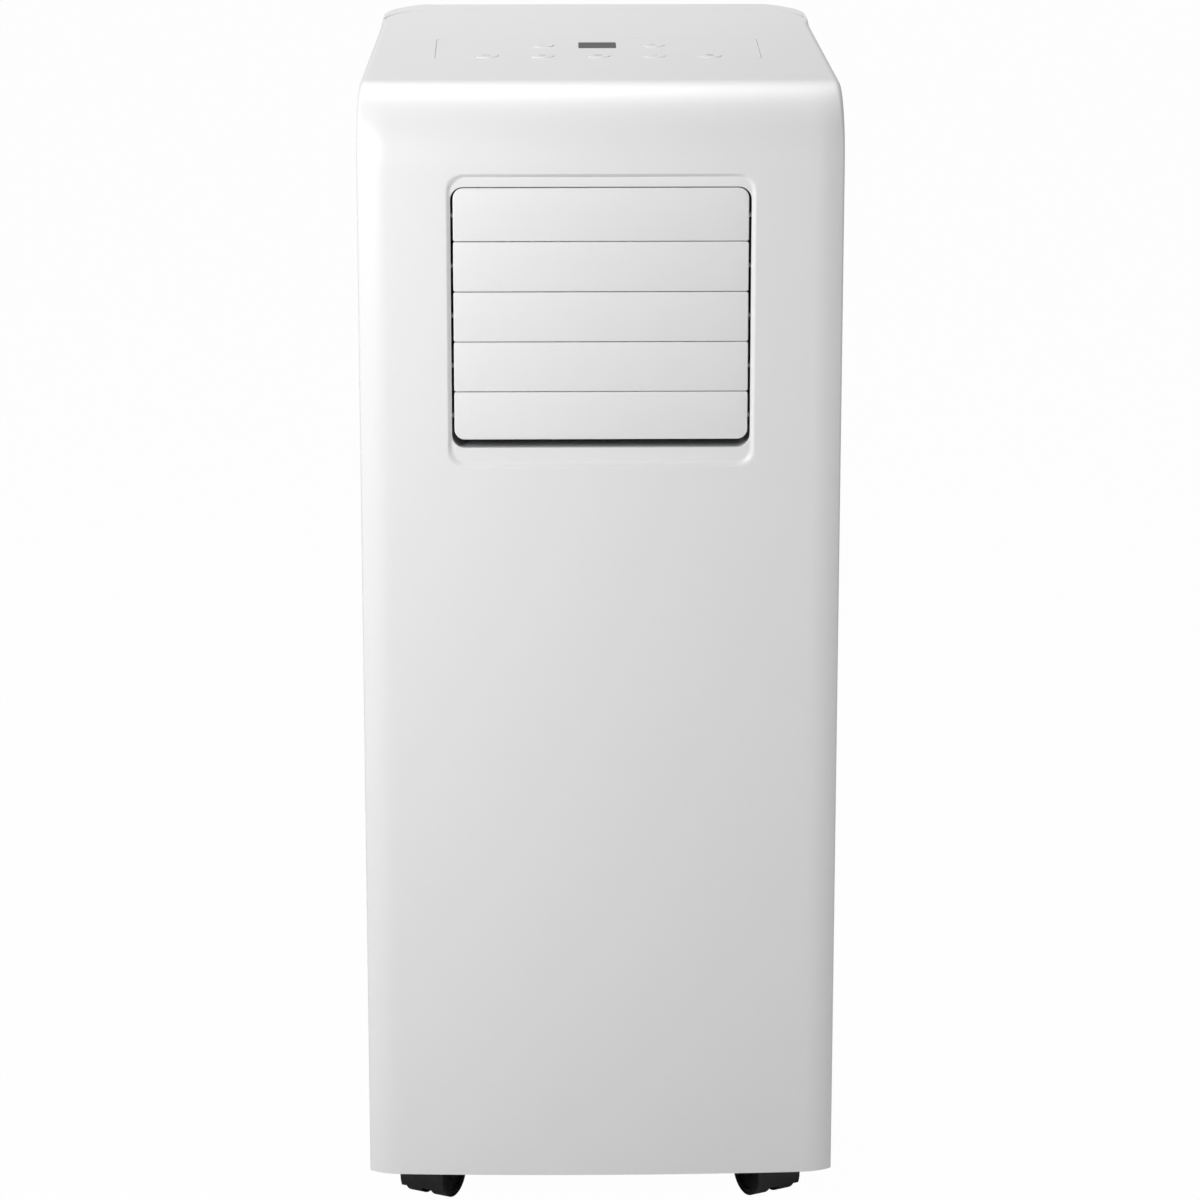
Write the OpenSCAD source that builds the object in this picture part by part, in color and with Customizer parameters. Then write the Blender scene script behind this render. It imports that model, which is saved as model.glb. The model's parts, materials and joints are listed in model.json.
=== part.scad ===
// Portable air conditioner: a tower casing on four castors, with a louvred outlet high in the front,
// an upper and a lower intake and an exhaust collar at the rear, and the refrigeration parts inside.
// Frame: X to the right as seen from the front, Y to the rear, Z up, origin on the floor under the middle.

/* [Casing] */
// Width of the casing at its front
body_w = 280; // [276:1:340]
// Depth of the casing, front to rear
body_d = 300; // [298:1:360]
// Height from the floor to the rear top edge
body_h = 700; // [696:1:860]
// Height of the casing's lower edge above the floor
skirt_z = 27; // [24:0.5:30]
// Wall of the front and rear covers
wall = 2.5; // [2:0.1:3]
// Rise of the top towards the rear, in degrees
top_slope = 3.5; // [2:0.1:5]
// Radius of the rounded front top edge
nose_r = 46; // [36:1:54]
// Radius of the rear top edge
rear_edge_r = 6; // [4:0.5:10]
// Angle by which each side narrows towards the rear, in degrees
side_taper = 1.95; // [0:0.05:3]
// Radius of the front's slight outward curve
crown_r = 2207; // [1800:1:4000]
// Radius of the soft front corners
front_corner_r = 30; // [24:1:36]
// Width over which each front corner turns back
front_corner_w = 17.5; // [14:0.5:20]
// Radius of the rear corners
rear_corner_r = 45; // [36:1:50]
// Depth of the rear cover's strip on the top
top_strip = 24; // [20:1:40]
// Height of the top's edge along the sides
lid_drop = 12; // [8:1:20]
// Where the front cover ends on the sides, from the middle of the depth
seam_y = 10; // [0:1:16]
// Open seam between the covers
seam_gap = 0.4; // [0.2:0.1:0.6]
// Fit between a cover and what stands inside it
fit = 0.4; // [0.2:0.1:0.6]

/* [Louvre] */
// Distance from slat to slat
slat_pitch = 29.2; // [27:0.1:30]
// Open seam between two slats
slat_gap = 0.5; // [0.4:0.1:1]
// Thickness of a slat
slat_t = 2.4; // [2:0.1:3]
// Half width of the outlet opening
outlet_half_w = 86.25; // [80:0.25:92]
// Space at each end of a slat
slat_end_gap = 1.5; // [1:0.1:3]
// Height of the outlet opening
outlet_h = 152; // [150:0.5:158]
// Top of the outlet opening below the casing's height
outlet_drop = 72; // [68:1:80]
// Depth of the recess at its middle
recess_depth = 3.6; // [3:0.1:4.5]
// Radius of a slat's pivot pin
slat_pin_r = 1.5; // [1.2:0.1:1.8]
// Distance of the crank pins from the pivots
crank_r = 9; // [7:0.5:12]

/* [Controls] */
// Width of the control panel
panel_w = 193; // [188:1:200]
// Depth of the control panel
panel_d = 67; // [64:1:74]
// Radius of a button
button_r = 7; // [6:0.25:8]
// Travel of a button
button_travel = 0.6; // [0.4:0.1:0.7]
// Distance between the buttons of the front row
button_pitch = 33.2; // [30:0.1:38]
// Distance between the two rows
row_pitch = 34; // [30:0.5:38]

/* [Rear] */
// Half width of both intake grilles
grille_half_w = 82; // [70:1:84]
// Height of the upper intake
upper_intake_h = 242; // [200:1:250]
// Height of the lower intake
lower_intake_h = 116; // [90:1:118]
// Inner radius of the exhaust collar
collar_r = 60; // [50:0.5:60]
// Height of the exhaust collar's axis
collar_z = 252; // [251:0.5:254]
// Pitch of the grille bars
bar_pitch = 7.6; // [7:0.1:10]
// Thickness of a grille bar
bar_t = 2.6; // [2:0.1:3.5]

/* [Castors] */
// Radius of a castor's wheels
wheel_r = 15; // [13:0.5:15]
// Width of one castor wheel
wheel_w = 10; // [8:0.5:10.5]
// Distance from a castor's swivel axis to its axle
trail = 6; // [4:0.5:7]
// Radius of a castor's stem
stem_r = 4; // [3:0.5:4.5]
// Angle at which the front castors stand, in degrees
castor_turn = 28; // [0:1:90]

/* [Fans] */
// Radius of the evaporator's blower wheel
blower_r = 66; // [56:1:68]
// Radius of the condenser's fan wheel
cond_fan_r = 50; // [42:1:52]
// Number of blades on each wheel
blade_count = 24; // [12:1:36]

/* [Hidden] */
$fn = 64;

eps = 0.01;            // overlap that makes a clean cut
run = 0.05;            // radial clearance of a shaft or pin that turns
lay = 0.3;             // space between two pieces that are fastened together
far = 1000;            // longer than anything in the model
edge_lead = 0.6;       // how far the rounds of the top's front and rear edges reach past the faces below
half_w = body_w / 2;
half_d = body_d / 2;
crown_cy = crown_r - half_d;

// Height of the top plane above a depth y
function top_z(y) = body_h - tan(top_slope) * (half_d - y);

// Colours
white = [0.93, 0.93, 0.93];
black = [0.08, 0.08, 0.08];
grey = [0.5, 0.5, 0.52];
steel = [0.75, 0.76, 0.78];
copper = [0.78, 0.45, 0.28];
green = [0.1, 0.35, 0.2];
dark_glass = [0.25, 0.25, 0.27];

// ---------------------------------------------------------------- casing outline

// The part of a corner outside its round, between the directions a0 and a1
module corner_waste(centre, r, a0, a1) {
    reach = 3 * r;
    mid = (a0 + a1) / 2;
    translate(centre) difference() {
        polygon([[0, 0], reach * [cos(a0), sin(a0)], 2 * reach * [cos(mid), sin(mid)],
            reach * [cos(a1), sin(a1)]]);
        circle(r, $fn = 96);
    }
}

// Plan of the casing, t inside its outer face
module plan(t) {
    front_y = -half_d - 20;
    rear_cx = half_w - (rear_corner_r + (body_d - rear_corner_r) * sin(side_taper)) / cos(side_taper);
    turn = asin((half_w - front_corner_w) / crown_r);
    front_c = [(crown_r - front_corner_r) * sin(turn), crown_cy - (crown_r - front_corner_r) * cos(turn)];
    // half width at a depth y
    front_hw = half_w - t / cos(side_taper) - (front_y + half_d) * tan(side_taper);
    rear_hw = half_w - t / cos(side_taper) - body_d * tan(side_taper) + t * tan(side_taper);
    difference() {
        intersection() {
            polygon([[-front_hw, front_y], [front_hw, front_y], [rear_hw, half_d - t],
                [-rear_hw, half_d - t]]);
            translate([0, crown_cy]) circle(crown_r - t, $fn = 720);
        }
        for (side = [0, 1]) mirror([side, 0]) {
            corner_waste([rear_cx, half_d - rear_corner_r], rear_corner_r - t, side_taper, 90);
            corner_waste(front_c, front_corner_r - t, -90 + turn, 30);
        }
    }
}

// Side outline of the casing in Y and Z from the height z0 up, t inside its outer face
module profile(t, z0) {
    drop = t / cos(top_slope);
    nose_y = -half_d + nose_r;
    edge_y = half_d - rear_edge_r + edge_lead / 2;
    nose_c = nose_r + edge_lead;
    edge_c = rear_edge_r + 2 * edge_lead;
    // the prism stands a little ahead of the crowned face and behind the rear wall, so neither is tangent
    front_y = nose_y - nose_c + t;
    rear_y = half_d + 2;
    difference() {
        polygon([[front_y, z0], [rear_y, z0], [rear_y, top_z(rear_y) - drop],
            [front_y, top_z(front_y) - drop]]);
        corner_waste([nose_y, top_z(nose_y) - nose_c / cos(top_slope)], nose_c - t, 90 + top_slope, 180);
        corner_waste([edge_y, top_z(edge_y) - edge_c / cos(top_slope)], edge_c - t, -10, 90 + top_slope);
    }
}

// Turns an outline drawn in Y and Z into a prism across X
module across(w) {
    rotate([90, 0, 90]) linear_extrude(w, center = true) children();
}

// Solid of the casing, t inside its outer face
module envelope(t, z0) {
    intersection() {
        translate([0, 0, z0]) linear_extrude(body_h) plan(t);
        across(body_w + 20) profile(t, z0);
    }
}

module shell() {
    difference() {
        envelope(0, skirt_z);
        envelope(wall, skirt_z - 1);
    }
}

// The space that the front and top moulding takes, grown by g at the seam
module front_side(g) {
    lid_y = half_d - top_strip + g;
    lid_cx = half_w - (lid_y + half_d) * tan(side_taper) - lid_r;
    intersection() {
        across(far) polygon([[-far, -eps], [seam_y + g, -eps], [seam_y + g, top_z(seam_y) - lid_drop - g],
            [half_d, top_z(half_d) - lid_drop - g], [half_d, far], [-far, far]]);
        linear_extrude(far) difference() {
            translate([-far / 2, -far + lid_y]) square(far);
            for (side = [0, 1]) mirror([side, 0])
                corner_waste([lid_cx, lid_y - lid_r - g], lid_r + g, 0, 90);
        }
    }
}

// ---------------------------------------------------------------- small shapes

// Rectangle with round corners, centred
module round_rect(w, h, r) {
    difference() {
        square([w, h], center = true);
        for (i = [-1, 1], j = [-1, 1]) translate([i * (w / 2 - r), j * (h / 2 - r)]) difference() {
            translate([i > 0 ? 0 : -r - 1, j > 0 ? 0 : -r - 1]) square(r + 1);
            circle(r, $fn = 48);
        }
    }
}

// Block between two corners
module block(a, b) {
    translate(a) cube(b - a);
}

// Block of half width w about x = 0
module wide(w, y0, y1, z0, z1) {
    block([-w, y0, z0], [w, y1, z1]);
}

// Cylinder along Y from y0 to y1 about the axis at x and z
module rod_y(x, z, r, y0, y1) {
    translate([x, y0, z]) rotate([-90, 0, 0]) cylinder(r = r, h = y1 - y0);
}

// Cylinder along X from x0 to x1 about the axis at y and z
module rod_x(y, z, r, x0, x1) {
    translate([x0, y, z]) rotate([0, 90, 0]) cylinder(r = r, h = x1 - x0);
}

// Upright plate in X and Z from y0 to y1, drawn with z as its second axis
module plate_y(y0, y1) {
    translate([0, y1, 0]) rotate([90, 0, 0]) linear_extrude(y1 - y0) children();
}

// Tube line through a list of points
module pipe(points, r) {
    for (i = [0 : len(points) - 2]) {
        run_vec = points[i + 1] - points[i];
        length = norm(run_vec);
        translate(points[i]) rotate([0, acos(run_vec[2] / length), atan2(run_vec[1], run_vec[0])])
            cylinder(r = r, h = length, $fn = 24);
    }
    for (i = [1 : len(points) - 2]) translate(points[i]) sphere(r, $fn = 24);
}

// Grille: frame and bars in X and Z with its middle at z
module grille(half, z0, z1, y0, y1) {
    rim = 5;
    mid = (z0 + z1) / 2;
    bars = floor((z1 - z0 - 2 * rim) / bar_pitch);
    plate_y(y0, y1) difference() {
        translate([0, mid]) round_rect(2 * half, z1 - z0, 6);
        translate([0, mid]) round_rect(2 * (half - rim), z1 - z0 - 2 * rim, 3);
    }
    for (i = [0 : bars - 1]) {
        z = mid + (i - (bars - 1) / 2) * bar_pitch;
        wide(half - rim + 1, y0, y1 - 0.6, z - bar_t / 2, z + bar_t / 2);
    }
    for (i = [-2 : 2]) {
        x = i * half / 3;
        block([x - 1.2, y0, z0 + rim - 1], [x + 1.2, y0 + 1.6, z1 - rim + 1]);
    }
}

// ---------------------------------------------------------------- places

pan_z = 38.3;                                // underside of the base pan's floor
pan_t = 3;
pan_top = pan_z + pan_t;
pan_wall = 2.5;
pan_rim_z = 54;
castor_x = half_w - 36;
castor_y = half_d - 36;
rear_castor_x = half_w - 50;
rear_castor_y = half_d - 40;

lid_r = 36;                                  // rear corners of the top moulding
recess_y = -half_d + recess_depth;           // floor of the recess, and front of the slats
pad_y = recess_y + wall;                     // back of the thickened front round the recess
outlet_r = 7.5;                              // corners of the outlet
outlet_rim = 2.5;                            // wall of the frame behind it
recess_side = 1.25;                          // recess beyond the outlet at each side
recess_ends = 9;                             // and above and below it, on average
recess_shift = 1.5;                          // how far the recess sits below the outlet's middle
recess_r = 10;
outlet_z1 = body_h - outlet_drop;
outlet_z0 = outlet_z1 - outlet_h;
slat_y = recess_y + 0.2;
pivot_y = pad_y + 3.2;
first_pivot_z = outlet_z1 - 16.9;
frame_y1 = pad_y + 24;
duct_w = outlet_half_w + outlet_rim;

mid_z = body_h - 378;                        // underside of the partition
mid_t = 3;
mid_top = mid_z + mid_t;
blower_z = body_h - 270;
blower_y0 = -55;
blower_y1 = 10;
scroll_r = blower_r + 22;
wheel_x = 6;
wheel_z = blower_z - 6;
scroll_top = blower_z + scroll_r + 2;

evap_z0 = body_h - 348;
evap_z1 = body_h - 88;
evap_y = 84;
coil_t = 26;
evap_w = 96;
cond_y = 72;
cond_w = 104;
cond_z1 = 182;

fan_x = 56;
fan_z = 112;
fan_y0 = -12;
fan_y1 = 44;
fan_scroll_r = cond_fan_r + 16;
fan_top = fan_z + fan_scroll_r + 10;
comp_c = [-62, -64];
comp_r = 50;
comp_z0 = 62;
comp_top = 228;
acc_c = [14, -92];
acc_r = 20;
acc_top = 222;

board_top = -6.2;                            // upper face of the display board below the top
display_y = 2;
panel_y = -9.5;
panel_t = 1.2;
rear_in = half_d - wall;                     // inner face of the rear wall
upper_z1 = body_h - 82;
upper_z0 = upper_z1 - upper_intake_h;
lower_z0 = 56;
drain_x = -40;
drain_z = 48;
tray_drain_z = evap_z0 + 6;
drain_r = 4;
gland_x = 76;
gland_z = 183;
screw_x = 74;
screw_z = [48, body_h - 45];
handle_y0 = 22;
handle_y1 = 98;
handle_z0 = body_h - 148;
handle_z1 = body_h - 112;
handle_depth = 22;

// Puts a piece drawn in the top plane, with its outer face at z = 0, into place at x and y
module on_top(x, y) {
    translate([x, y, top_z(y)]) rotate([top_slope, 0, 0]) children();
}

// Puts a piece drawn outwards along +X into the right side wall at the handle
module on_side(side) {
    y = (handle_y0 + handle_y1) / 2;
    mirror([side < 0 ? 1 : 0, 0, 0])
        translate([half_w - (y + half_d) * tan(side_taper), y, (handle_z0 + handle_z1) / 2])
            rotate([0, 0, side_taper]) children();
}

button_places = [["button_plus", button_pitch, 1], ["button_minus", -button_pitch, 1],
    ["button_1", -2 * button_pitch, 0], ["button_2", -button_pitch, 0], ["button_3", 0, 0],
    ["button_4", button_pitch, 0], ["button_5", 2 * button_pitch, 0]];
display_w = 22.3;
display_d = 19;

// Puts its children at every button
module at_buttons() {
    for (p = button_places) on_top(p[1], display_y - (1 - p[2]) * row_pitch) children();
}

// ---------------------------------------------------------------- covers and base

module recess_outline(grow) {
    translate([0, (outlet_z0 + outlet_z1) / 2 - recess_shift])
        round_rect(2 * (outlet_half_w + recess_side + grow), outlet_h + 2 * (recess_ends + grow),
            recess_r + grow);
}

module outlet_outline(grow) {
    translate([0, (outlet_z0 + outlet_z1) / 2])
        round_rect(2 * (outlet_half_w + grow), outlet_h + 2 * grow, outlet_r + grow);
}

// Boss that hangs from the top for an upper casing screw
module lid_boss(x) {
    z = screw_z[1];
    difference() {
        intersection() {
            block([x - 6, 104, z - 7], [x + 6, 124.5, body_h]);
            envelope(wall - eps, skirt_z);
        }
        rod_y(x, z, 1.55, 100, 130);
    }
}

module front_cover() {
    color(white) difference() {
        union() {
            intersection() {
                shell();
                front_side(0);
            }
            intersection() {
                envelope(0, skirt_z);
                plate_y(-half_d - 5, pad_y) recess_outline(4);
            }
            for (x = [-screw_x, screw_x]) lid_boss(x);
        }
        plate_y(-half_d - 20, recess_y) recess_outline(0);
        plate_y(-half_d - 20, -half_d + 20) outlet_outline(0);
        on_top(0, panel_y) translate([0, 0, -panel_t]) linear_extrude(20)
            round_rect(panel_w + 0.4, panel_d + 0.4, 4.2);
        at_buttons() translate([0, 0, -10]) cylinder(r = button_r + 1.3, h = 20);
        on_top(0, display_y) translate([-display_w / 2 + 2, -display_d / 2 + 2, -10])
            cube([display_w - 4, display_d - 4, 20]);
    }
}

// Cup in the rear wall that a casing screw's head sits in
module screw_cup(x, z) {
    rod_y(x, z, 6.5, half_d - 7.5, half_d - 0.5);
}

module screw_hole(x, z) {
    rod_y(x, z, 1.7, half_d - 20, half_d + 1);
    rod_y(x, z, 4.1, half_d - 5, half_d + 1);
}

module rear_cover() {
    color(white) difference() {
        union() {
            difference() {
                shell();
                front_side(seam_gap);
            }
            for (x = [-screw_x, screw_x], z = screw_z) screw_cup(x, z);
        }
        for (x = [-screw_x, screw_x], z = screw_z) screw_hole(x, z);
        plate_y(100, half_d + 1) {
            translate([0, (upper_z0 + upper_z1) / 2]) round_rect(2 * grille_half_w, upper_intake_h, 6);
            translate([0, lower_z0 + lower_intake_h / 2]) round_rect(2 * grille_half_w, lower_intake_h, 6);
        }
        rod_y(0, collar_z, collar_r + 3, half_d - 20, half_d + 1);
        rod_y(drain_x, drain_z, 7.5, half_d - 20, half_d + 1);
        rod_y(0, tray_drain_z, 8.5, half_d - 20, half_d + 1);
        rod_y(gland_x, gland_z, 7, half_d - 20, half_d + 1);
        for (side = [-1, 1]) on_side(side) handle_outline(0.3, -30, 5);
    }
}

module base_pan() {
    castors = [[castor_x, -castor_y], [-castor_x, -castor_y], [rear_castor_x, rear_castor_y],
        [-rear_castor_x, rear_castor_y]];
    color(grey) difference() {
        union() {
            difference() {
                translate([0, 0, skirt_z + 3]) linear_extrude(pan_rim_z - skirt_z - 3) plan(wall + fit);
                translate([0, 0, pan_top]) linear_extrude(far) plan(wall + fit + pan_wall);
                translate([0, 0, -eps]) linear_extrude(pan_z + eps) plan(wall + fit + pan_wall);
            }
            for (c = castors) translate([c[0], c[1], pan_top - 1]) cylinder(r = stem_r + 3.5, h = 18);
            for (x = [-screw_x, screw_x]) block([x - 6, 128, pan_top - 1], [x + 6, half_d - 8, pan_top + 13]);
            rod_y(drain_x, drain_z, 6, 138, half_d - 3.5);
        }
        for (c = castors) translate([c[0], c[1], 0]) cylinder(r = stem_r + run, h = pan_top + 14.5);
        for (x = [-screw_x, screw_x]) {
            rod_y(x, screw_z[0], 1.55, 127, half_d);
            rod_y(x, screw_z[0], 6.9, half_d - 7.9, half_d);
        }
        rod_y(drain_x, drain_z, drain_r, 130, half_d);
        rod_y(drain_x, drain_z, 7.5, half_d - 3.5, half_d);
    }
}

module partition() {
    color(grey) difference() {
        translate([0, 0, mid_z]) linear_extrude(mid_t) plan(wall + fit);
        translate([pipe_a_x, pipe_a_y, 0]) cylinder(r = 5.5, h = far);
        translate([pipe_b_x, pipe_b_y, 0]) cylinder(r = 3, h = far);
    }
}

// ---------------------------------------------------------------- louvre

function pivot_z(i) = first_pivot_z - (i - 1) * slat_pitch;
// Upper and lower edge of slat i
function slat_top(i) = i == 1 ? outlet_z1 - 0.6 : pivot_z(i) + slat_pitch / 2 - slat_gap / 2;
function slat_low(i) = i == 5 ? pivot_z(i) - 13.5 : pivot_z(i) - slat_pitch / 2 + slat_gap / 2;

crank_x = -outlet_half_w - 5.25;
slat_hw = outlet_half_w - slat_end_gap;

module slat(i) {
    corner = 6;
    tiny = 1.2;
    top_r = i == 1 ? corner : tiny;
    low_r = i == 5 ? corner : tiny;
    z0 = slat_low(i);
    z1 = slat_top(i);
    color(white) {
        plate_y(slat_y, slat_y + slat_t) difference() {
            translate([-slat_hw, z0]) square([2 * slat_hw, z1 - z0]);
            for (side = [0, 1]) mirror([side, 0]) {
                corner_waste([slat_hw - top_r, z1 - top_r], top_r, 0, 90);
                corner_waste([slat_hw - low_r, z0 + low_r], low_r, -90, 0);
            }
        }
        for (side = [-1, 1]) {
            x = side > 0 ? slat_hw - 3 : -slat_hw;
            block([x, slat_y + slat_t - eps, pivot_z(i) - 3], [x + 3, pivot_y, pivot_z(i) + 3]);
            rod_x(pivot_y, pivot_z(i), 3, x, x + 3);
        }
        rod_x(pivot_y, pivot_z(i), slat_pin_r, slat_hw - eps, duct_w - 0.3);
        rod_x(pivot_y, pivot_z(i), slat_pin_r, crank_x, -slat_hw + eps);
        // crank arm and its pin outside the frame
        rod_x(pivot_y, pivot_z(i), 2.6, crank_x, crank_x + 2);
        rod_x(pivot_y + crank_r, pivot_z(i), 2.6, crank_x, crank_x + 2);
        block([crank_x, pivot_y, pivot_z(i) - 2.6], [crank_x + 2, pivot_y + crank_r, pivot_z(i) + 2.6]);
        rod_x(pivot_y + crank_r, pivot_z(i), 1.2, crank_x - 4, crank_x + eps);
    }
}

module louvre_1() { slat(1); }
module louvre_2() { slat(2); }
module louvre_3() { slat(3); }
module louvre_4() { slat(4); }
module louvre_5() { slat(5); }

module louvre_link() {
    y = pivot_y + crank_r;
    x0 = crank_x - 3.2;
    color(grey) difference() {
        block([x0, y - 3, pivot_z(5) - 4], [x0 + 2.4, y + 3, pivot_z(1) + 4]);
        for (i = [1 : 5]) rod_x(y, pivot_z(i), i == 1 ? 1.2 + run : 1.5, x0 - 1, x0 + 4);
    }
}

module louvre_frame() {
    color(grey) difference() {
        plate_y(pad_y + lay, frame_y1) outlet_outline(outlet_rim);
        plate_y(pad_y, frame_y1 + 1) outlet_outline(0);
        for (i = [1 : 5]) rod_x(pivot_y, pivot_z(i), slat_pin_r + run, -duct_w - 1, duct_w + 1);
    }
}

// ---------------------------------------------------------------- cold side

module air_duct() {
    t = 2;
    y0 = frame_y1 + lay;
    step_y = blower_y0 - 2;
    color(grey) difference() {
        union() {
            wide(duct_w, y0, step_y, outlet_z0 - outlet_rim, outlet_z1 + outlet_rim);
            wide(duct_w, step_y - eps, blower_y1, scroll_top + lay, outlet_z1 + outlet_rim);
        }
        wide(duct_w - t, y0 - 1, step_y - t, outlet_z0 - outlet_rim + t, outlet_z1 + outlet_rim - t);
        wide(duct_w - t, y0 - 1, blower_y1 - t, scroll_top + lay + t, outlet_z1 + outlet_rim - t);
        block([-scroll_r + t, blower_y0 + t, scroll_top - 1], [0, blower_y1 - t, scroll_top + 5]);
    }
}

module blower_housing() {
    t = 2;
    color(grey) difference() {
        union() {
            rod_y(0, blower_z, scroll_r, blower_y0, blower_y1);
            block([-scroll_r, blower_y0, blower_z], [t, blower_y1, scroll_top]);
            for (x = [-50, 50])
                block([x - 5, blower_y0 + 5, mid_top], [x + 5, blower_y1 - 5, blower_z - scroll_r + 20]);
        }
        rod_y(0, blower_z, scroll_r - t, blower_y0 + t, blower_y1 - t);
        block([-scroll_r + t, blower_y0 + t, blower_z], [0, blower_y1 - t, scroll_top + 1]);
        rod_y(wheel_x, wheel_z, 12, blower_y0 - 1, blower_y0 + 5);
        rod_y(wheel_x, wheel_z, blower_r - 14, blower_y1 - 5, blower_y1 + 1);
    }
}

// Centrifugal wheel: back plate, hub, ring and blades about an axis along Y, shaft to the front
module fan_wheel(x, z, r, y0, y1, shaft_y0) {
    blade = 10;
    rod_y(x, z, r, y0, y0 + 2);
    rod_y(x, z, 10, y0, y0 + 20);
    rod_y(x, z, 4, shaft_y0, y0 + 20);
    difference() {
        rod_y(x, z, r, y1 - 3, y1);
        rod_y(x, z, r - 3, y1 - 4, y1 + 1);
    }
    translate([x, 0, z]) for (i = [0 : blade_count - 1]) rotate([0, i * 360 / blade_count, 0])
        translate([r - blade - 1, y0 + 1, 0]) rotate([0, -25, 0]) cube([blade, y1 - y0 - 2, 1.2]);
}

module blower_wheel() {
    color(black) fan_wheel(wheel_x, wheel_z, blower_r, blower_y0 + 8, blower_y1 - 6, blower_y0 - 30);
}

// Round motor with its mounting flange against a housing at y1
module fan_motor(x, z, r, y0, y1) {
    color(steel) difference() {
        union() {
            rod_y(x, z, r, y0, y1 - 2);
            rod_y(x, z, r + 6, y1 - 2, y1);
            rod_y(x, z, r - 10, y0 - 4, y0 + 1);
        }
        rod_y(x, z, 4 + run, y0 + 6, y1 + 1);
    }
}

module blower_motor() {
    fan_motor(wheel_x, wheel_z, 34, blower_y0 - 44, blower_y0 - lay);
}

// Finned coil between two heights, with its return bends on the right
module coil(w, y, z0, z1) {
    rows = floor((z1 - z0 - 30) / 36);
    difference() {
        wide(w, y, y + coil_t, z0, z1);
        for (i = [1 : 15]) {
            x = -w + i * 2 * w / 16;
            block([x - 1, y - 1, z0 + 6], [x + 1, y + 3, z1 - 6]);
            block([x - 1, y + coil_t - 3, z0 + 6], [x + 1, y + coil_t + 1, z1 - 6]);
        }
    }
    for (i = [0 : rows]) translate([w - eps, y + coil_t / 2, z0 + 18 + i * 36])
        rotate([90, 0, 0]) rotate([0, 0, -90]) rotate_extrude(angle = 180)
            translate([-7, 0]) circle(3, $fn = 24);
}

module evaporator() {
    color(steel) coil(evap_w, evap_y, evap_z0 + 2 + lay, evap_z1);
}

module evaporator_tray() {
    y0 = evap_y - 5;
    y1 = evap_y + coil_t + 5;
    color(grey) difference() {
        union() {
            wide(evap_w + 14, y0, y1, evap_z0, evap_z0 + 14);
            for (x = [-80, 80]) block([x - 5, y0 + 4, mid_top], [x + 5, y1 - 4, evap_z0 + 1]);
            rod_y(0, tray_drain_z, 7, y1 - 1, half_d - 3.5);
        }
        wide(evap_w + 12, y0 + 2, y1 - 2, evap_z0 + 2, evap_z0 + 20);
        rod_y(0, tray_drain_z, drain_r, y1 - 3, half_d);
    }
}

// ---------------------------------------------------------------- hot side

module condenser() {
    color(steel) coil(cond_w, cond_y, pan_top + 0.2, cond_z1);
}

module condenser_fan_housing() {
    t = 2;
    color(grey) difference() {
        union() {
            rod_y(fan_x, fan_z, fan_scroll_r, fan_y0, fan_y1);
            block([fan_x - fan_scroll_r, fan_y0, fan_z], [fan_x - 26, fan_y1, fan_top]);
            block([fan_x - 20, fan_y0 + 5, pan_top], [fan_x + 20, fan_y1 - 5, fan_z - fan_scroll_r + 6]);
        }
        rod_y(fan_x, fan_z, fan_scroll_r - t, fan_y0 + t, fan_y1 - t);
        block([fan_x - fan_scroll_r + t, fan_y0 + t, fan_z], [fan_x - 28, fan_y1 - t, fan_top + 1]);
        rod_y(fan_x + 4, fan_z - 4, 12, fan_y0 - 1, fan_y0 + 5);
        rod_y(fan_x + 4, fan_z - 4, cond_fan_r - 10, fan_y1 - 5, fan_y1 + 1);
    }
}

module condenser_fan_wheel() {
    color(black) fan_wheel(fan_x + 4, fan_z - 4, cond_fan_r, fan_y0 + 7, fan_y1 - 6, fan_y0 - 26);
}

module condenser_fan_motor() {
    fan_motor(fan_x + 4, fan_z - 4, 30, fan_y0 - 38, fan_y0 - lay);
}

module exhaust_duct() {
    t = 2;
    y1 = half_d - 23.5;
    z0 = fan_top + lay;
    z1 = mid_z - 3.5;
    color(grey) difference() {
        wide(collar_r + 8, fan_y0, y1, z0, z1);
        wide(collar_r + 6, fan_y0 + t, y1 - t, z0 + t, z1 - t);
        block([fan_x - fan_scroll_r + t, fan_y0 + t, z0 - 1], [fan_x - 28, fan_y1 - t, z0 + 5]);
        plate_y(y1 - 5, y1 + 1) difference() {
            translate([0, collar_z]) circle(collar_r - 2);
            translate([-1.5, z0]) square([3, far]);
            translate([-far / 2, collar_z - 1.5]) square([far, 3]);
        }
    }
}

module exhaust_collar() {
    color(grey) difference() {
        union() {
            rod_y(0, collar_z, collar_r + 2.7, half_d - 23, half_d - 0.5);
            rod_y(0, collar_z, collar_r + 6, rear_in - 3, rear_in - lay);
        }
        rod_y(0, collar_z, collar_r, half_d - 30, half_d + 1);
    }
}

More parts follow.
